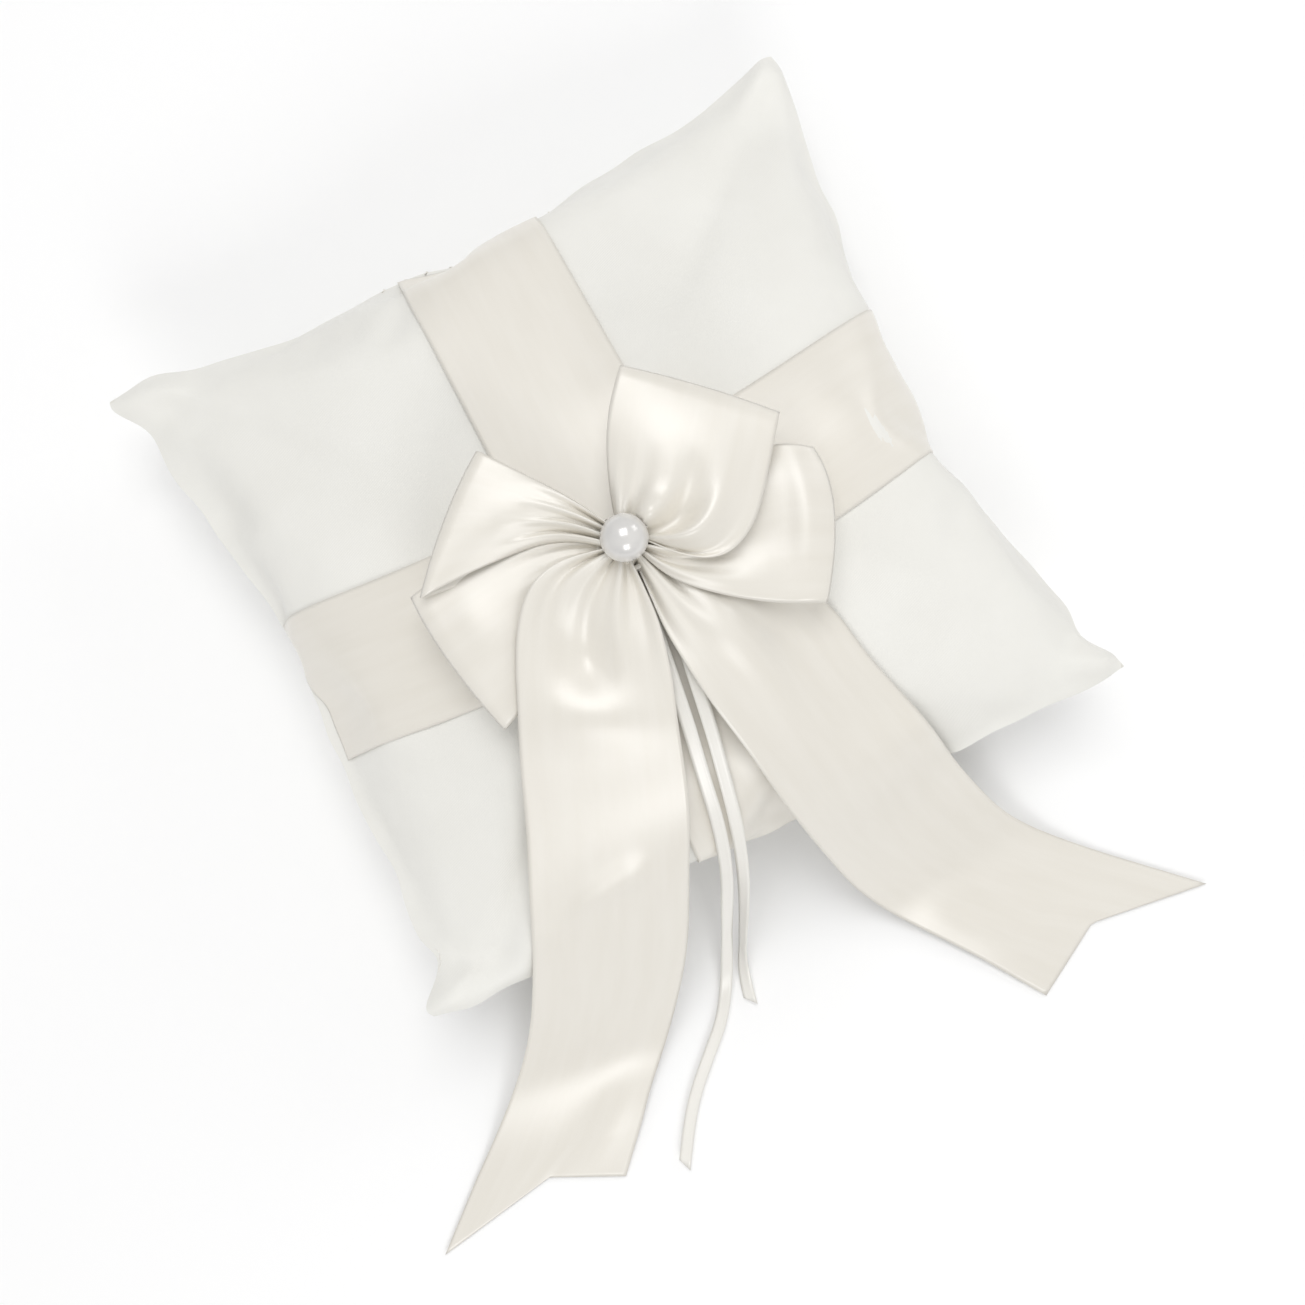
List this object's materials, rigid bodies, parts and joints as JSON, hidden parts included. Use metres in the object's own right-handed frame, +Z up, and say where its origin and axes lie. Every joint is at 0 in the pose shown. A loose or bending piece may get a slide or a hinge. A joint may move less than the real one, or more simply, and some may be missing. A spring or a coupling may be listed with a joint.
{
  "type": "ring bearer pillow",
  "caption": "Square plump satin cushion with crossed ribbon bands, a looped bow with a pearl, long swallowtail ribbon tails and thin ring ties.",
  "frame": {"origin": "middle of the flat patch that the pillow rests on", "axes": "+Z up, +X and +Y along the pillow's sides, the ribbon tails fall over the -Y side"},
  "size_m": [0.223, 0.249, 0.09],
  "materials": {
    "cover_satin": "matte ivory satin",
    "filling_fibre": "white polyester fibre",
    "ribbon_satin": "glossy ivory satin ribbon",
    "tie_satin": "narrow ivory satin ribbon",
    "sewing_thread": "ivory thread",
    "pearl": "pearl lustre"
  },
  "bodies": {
    "pillow": {"cover_top": "cover_satin", "cover_back": "cover_satin", "fibre_filling": "filling_fibre", "seam_thread": "sewing_thread", "closing_stitches": "sewing_thread", "band_long": "ribbon_satin", "band_cross": "ribbon_satin", "tail_left_root": "ribbon_satin", "tail_right_root": "ribbon_satin", "bow_gather": "ribbon_satin", "bow_binding": "sewing_thread", "bow_tack_stitches": "sewing_thread", "pearl_thread": "sewing_thread", "ring_tie_long": "tie_satin", "ring_tie_short": "tie_satin", "bow_loop_top": "ribbon_satin", "bow_loop_right": "ribbon_satin", "bow_loop_upper_left": "ribbon_satin", "bow_loop_lower_left": "ribbon_satin"},
    "tail_left": {"tail_left": "ribbon_satin"},
    "tail_right": {"tail_right": "ribbon_satin"},
    "pearl": {"pearl_bead": "pearl"}
  },
  "joints": [
    {"name": "tail_left_lift", "type": "hinge", "parent": "pillow", "child": "tail_left", "pos_m": [-0.0333, -0.06363, 0.06009], "axis": [-0.933, 0.3599, 0], "range_deg": [0, 70]},
    {"name": "tail_right_lift", "type": "hinge", "parent": "pillow", "child": "tail_right", "pos_m": [0.02417, -0.07059, 0.05981], "axis": [-0.9883, -0.1524, 0], "range_deg": [0, 70]},
    {"name": "pearl_turn", "type": "hinge", "parent": "pillow", "child": "pearl", "pos_m": [0, -0.009, 0.0845], "axis": [1, 0, 0], "continuous": true}
  ]
}
